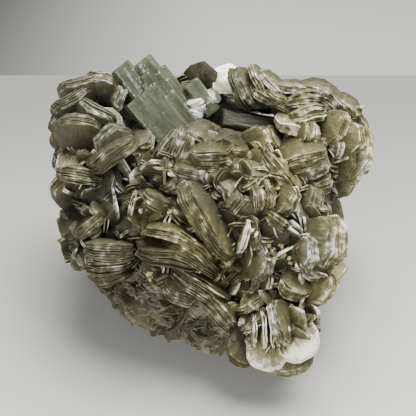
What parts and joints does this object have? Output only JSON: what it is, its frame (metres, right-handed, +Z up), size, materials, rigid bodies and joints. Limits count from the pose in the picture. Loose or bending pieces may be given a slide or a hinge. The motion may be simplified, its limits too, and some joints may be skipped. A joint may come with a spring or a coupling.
{
  "type": "aquamarine specimen",
  "caption": "Cabinet mineral specimen: pale aquamarine prisms on a dense heart-shaped mass of muscovite mica books, with dark host rock at the base.",
  "frame": {"origin": "middle of the flat cut underneath, where the specimen rests", "axes": "+Z up; +Y away from the display face, which leans back; +X to the right of it, along the longest side"},
  "size_m": [0.1212, 0.1107, 0.0823],
  "materials": {
    "muscovite": "pearly books of olive-brown mica with bright silvery edges",
    "host_rock": "dull dark grey-brown schist",
    "aquamarine": "cloudy pale green beryl with glossy faces",
    "aquamarine_dark": "dark green beryl with glossy faces"
  },
  "bodies": {
    "root": {"muscovite_cluster": "muscovite", "host_rock": "host_rock", "aquamarine_cluster": "aquamarine", "aquamarine_rear": "aquamarine", "aquamarine_hollow": "aquamarine_dark"}
  },
  "joints": []
}
